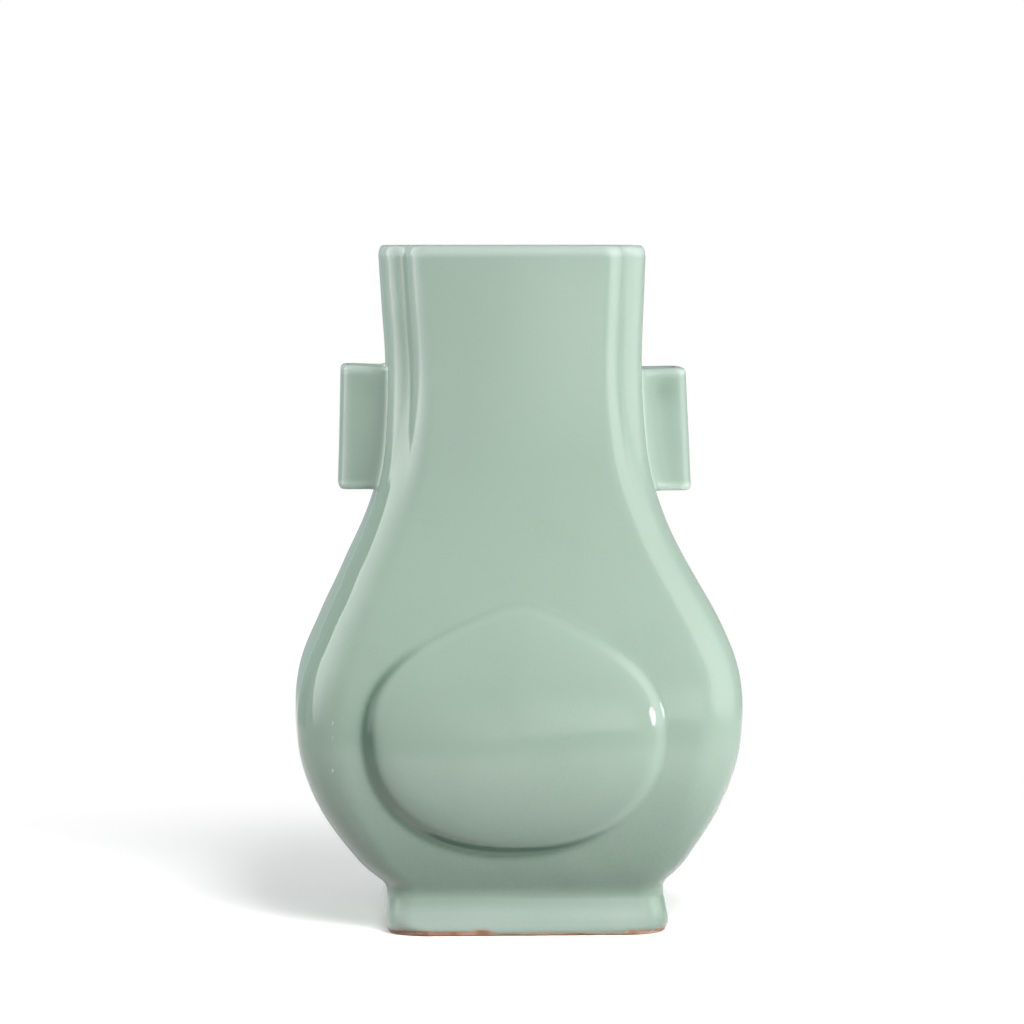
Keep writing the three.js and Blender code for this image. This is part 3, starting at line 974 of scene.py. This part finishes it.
# The glaze mirrors these alone, and they give no other light. Each fades over shares of it at its left,
# right, bottom and top, as seen from behind it, and may be rolled.
shines = {
    "rightShine": {"fades": [0.04, 0.8, 0.12, 0.3], "roll": 0},
    "leftShine": {"fades": [0.06, 0.9, 0.42, 0.3], "roll": 25},
    "frontShine": {"fades": [0.45, 0.45, 0.3, 0.6], "roll": 0},
}
# A small lamp that only glints on the boss's right edge: rings of beams that meet there
glint = {"place": [0.424, -0.424, 0.14], "target": [0.061, -0.078, 0.093], "beams": [1, 6, 12],
         "spacing": 0.026, "radius": 0.015, "cone": 3.1, "blend": 0.3, "watts": 0.2}


def aim(thing, target):
    direction = np.array(target) - np.array(thing.location)
    flat = math.hypot(direction[0], direction[1])
    thing.rotation_euler = (math.atan2(flat, -direction[2]), 0, math.atan2(-direction[0], direction[1]))


def placeCamera():
    data = bpy.data.cameras.new("camera")
    camera = addObject("camera", data)
    data.lens = studio["lens"]
    data.sensor_width = studio["sensor"]
    turn, far = studio["cameraAzimuth"], studio["cameraDistance"]
    x = studio["aimX"] + far * math.sin(turn)
    camera.location = np.array([x, -far * math.cos(turn), studio["cameraHeight"]]) * millimetre
    aim(camera, np.array([studio["aimX"], 0, studio["aimHeight"]]) * millimetre)
    scene.camera = camera


# Soft edges, each with its own width
def fadePanel(data, fades):
    data.use_nodes = True
    tree = data.node_tree
    place = addNode(tree, "NewGeometry")["Parametric"]
    split = addNode(tree, "SeparateXYZ", {0: place})
    strength = 1.0
    for axis, side, fade in ((0, 0, fades[0]), (0, 1, fades[1]), (1, 0, fades[2]), (1, 1, fades[3])):
        edge = rangeNode(tree, split[axis], (side, abs(side - fade)), "SMOOTHSTEP")
        strength = mathNode(tree, "MULTIPLY", edge, strength)
    tree.links.new(strength, tree.nodes["Emission"].inputs["Strength"])


def hangPanels():
    middle = np.array([0, 0, studio["panelAim"]])
    for name, (azimuth, elevation, distance, width, height, radiance) in panels.items():
        data = bpy.data.lights.new(name, "AREA")
        data.shape = "RECTANGLE"
        data.size, data.size_y = width, height
        data.energy = radiance * math.pi * width * height
        lamp = addObject(name, data)
        turn, rise = math.radians(azimuth), math.radians(elevation)
        level = distance * math.cos(rise)
        offset = [level * math.sin(turn), -level * math.cos(turn), distance * math.sin(rise)]
        lamp.location = middle + np.array(offset)
        aim(lamp, middle)
        lamp.visible_glossy = name in shines
        lamp.visible_diffuse = name not in shines
        if name in shines:
            lamp.rotation_euler.rotate_axis("Z", math.radians(shines[name]["roll"]))
            fadePanel(data, shines[name]["fades"])
    # this one lights the floor alone, for the shadow
    floorOnly = bpy.data.collections.new("floorOnly")
    floorOnly.objects.link(bpy.data.objects["floor"])
    bpy.data.objects["floorLamp"].light_linking.receiver_collection = floorOnly


def hangGlint():
    place, target = np.array(glint["place"]), np.array(glint["target"])
    level = np.cross(target - place, (0, 0, 1))
    level /= np.linalg.norm(level)
    for ring, count in enumerate(glint["beams"]):
        for turn in np.arange(count) / count * 2 * math.pi:
            data = bpy.data.lights.new("glint", "SPOT")
            data.shadow_soft_size = glint["radius"]
            data.spot_size = math.radians(glint["cone"])
            data.spot_blend = glint["blend"]
            data.energy = glint["watts"]
            lamp = addObject("glint", data)
            reach = ring * glint["spacing"]
            lamp.location = place + reach * (level * math.cos(turn) + np.array([0, 0, math.sin(turn)]))
            lamp.visible_diffuse = False
            aim(lamp, target)


# Grey cards round the back darken the vase's edges. The camera doesn't see them.
def hangCards():
    for number, (first, last) in enumerate(studio["cardSpans"]):
        material, tree, shader = newMaterial(f"greyCard{number}")
        where = addNode(tree, "TexCoord")["Object"]
        up = addNode(tree, "SeparateXYZ", {0: where})["Z"]
        fade = rangeNode(tree, up, studio["cardFade"], "SMOOTHSTEP")
        tone = mixColours(tree, fade, (1, 1, 1, 1), studio["cardGlows"][number])
        plugIn(tree, shader, {
            "Base Color": (0, 0, 0, 1), "Specular IOR Level": 0, "Emission Color": tone,
            "Emission Strength": 1})
        bm = bmesh.new()
        turn = math.radians(first)
        edge = np.array([math.sin(turn), -math.cos(turn), 0]) * studio["cardReach"]
        low = bm.verts.new(edge)
        high = bm.verts.new(edge + np.array([0, 0, studio["cardHeight"]]))
        upright = bm.edges.new((low, high))
        bmesh.ops.spin(bm, geom=[low, high, upright], cent=(0, 0, 0), axis=(0, 0, 1), steps=16,
                       angle=math.radians(last - first))
        card = addObject(f"card{number}", meshFrom(f"card{number}", bm))
        card.data.materials.append(material)
        card.visible_camera = False


# The camera, mirrors and glass all see the same white room; only its even light is dimmer
def whiteRays(tree):
    path = addNode(tree, "LightPath")
    seen = mathNode(tree, "MAXIMUM", path["Is Camera Ray"], path["Is Glossy Ray"])
    return mathNode(tree, "MAXIMUM", seen, path["Is Transmission Ray"])


def lightRoom():
    world = bpy.data.worlds.new("studio")
    scene.world = world
    world.use_nodes = True
    tree = world.node_tree
    direction = addNode(tree, "TexCoord")["Generated"]
    frontal = addNode(tree, "VectorMath", {
        0: direction, 1: studio["frontFrom"]}, operation="DOT_PRODUCT")["Value"]
    frontal = mathNode(tree, "POWER", mathNode(tree, "MAXIMUM", frontal, 0.0), studio["frontPower"])
    soft = mathNode(tree, "MULTIPLY_ADD", frontal, studio["frontLight"], studio["roomLight"])
    strength = rangeNode(tree, whiteRays(tree), (0, 1), target=(soft, 1))
    plugIn(tree, tree.nodes["Background"], {"Color": (1, 1, 1, 1), "Strength": strength})


def layFloor():
    bm = bmesh.new()
    bmesh.ops.create_circle(bm, cap_ends=True, segments=96, radius=studio["floorRadius"])
    bmesh.ops.translate(bm, verts=bm.verts, vec=(0, 0, -studio["floorDrop"]))
    floor = addObject("floor", meshFrom("floor", bm))
    material, tree, shader = newMaterial("paleFloor")
    seen = whiteRays(tree)
    given = studio["floorShade"]
    shade = mixColours(tree, seen, (given, given, given, 1), studio["floorTone"])
    lift = mathNode(tree, "MULTIPLY", seen, studio["floorLift"])
    plugIn(tree, shader, {
        "Base Color": shade, "Roughness": studio["floorRoughness"], "Specular IOR Level": 0,
        "Emission Color": (1, 1, 1, 1), "Emission Strength": lift})
    where = addNode(tree, "TexCoord")["Object"]
    away = addNode(tree, "VectorMath", {0: where}, operation="LENGTH")["Value"]
    fade = rangeNode(tree, away, studio["floorFade"], "SMOOTHSTEP")
    even = mathNode(tree, "MAXIMUM", seen, studio["roomLight"])
    plain = addNode(tree, "Emission", {"Color": (1, 1, 1, 1), "Strength": even})[0]
    mixed = addNode(tree, "MixShader", {0: fade, 1: shader.outputs[0], 2: plain})[0]
    tree.links.new(mixed, tree.nodes["Material Output"].inputs["Surface"])
    floor.data.materials.append(material)


placeCamera()
wallPieces = buildWalls()
footPieces = buildFoot()
handlePieces = buildHandles()
celadon, iron = celadonGroup(), ironGroup()
dress(wallPieces.values(), glazeMaterial("celadonBody", celadon))
dress(handlePieces.values(), glazeMaterial("celadonHandle", celadon))
dress(footPieces.values(), glazeMaterial("celadonFoot", celadon, iron))
floorGlaze = glazeMaterial("celadonFloor", celadon, evenDepth=depths["floor"])
dress([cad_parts["floor_slab"]], floorGlaze)
print("glazed")
layFloor()
hangPanels()
hangGlint()
hangCards()
lightRoom()
print("studio ready")

bpy.context.view_layer.update()
